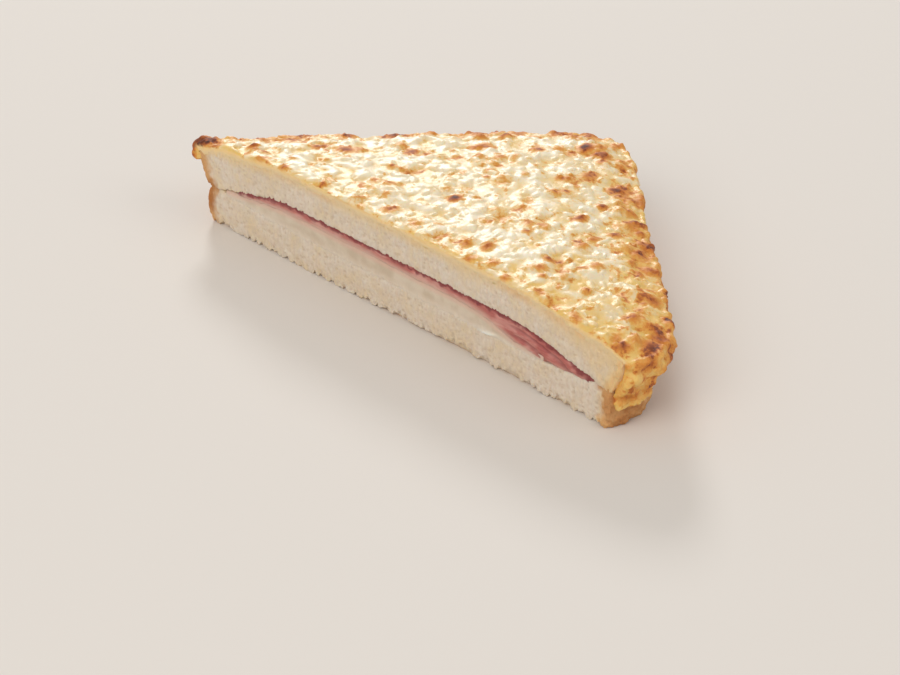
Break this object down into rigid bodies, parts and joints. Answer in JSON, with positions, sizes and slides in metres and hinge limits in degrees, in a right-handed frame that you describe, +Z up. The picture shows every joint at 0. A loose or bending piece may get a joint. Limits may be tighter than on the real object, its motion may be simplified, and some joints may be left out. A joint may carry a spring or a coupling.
{
  "type": "croque monsieur half",
  "caption": "Triangular half of a toasted ham and cheese sandwich with a browned gratin of melted grated cheese on top and over the crusts, its layers showing at the cut.",
  "frame": {"origin": "centre of the footprint's bounding box, on the surface that the sandwich rests on", "axes": "+X along the cut, +Z up, the cut face looks along -Y and the whole corner points along +Y"},
  "size_m": [0.1688, 0.087, 0.0285],
  "materials": {
    "bread": "soft open white crumb, dull, with a thin toasted crust",
    "cheese": "smooth pale melted cheese, satin",
    "ham": "moist cooked ham, satin",
    "gratin": "melted grated cheese, pale yellow to golden brown, oily gloss"
  },
  "bodies": {
    "root": {"bottom_slice": "bread", "melted_cheese": "cheese", "ham": "ham", "top_slice": "bread", "cheese_gratin": "gratin"}
  },
  "joints": []
}
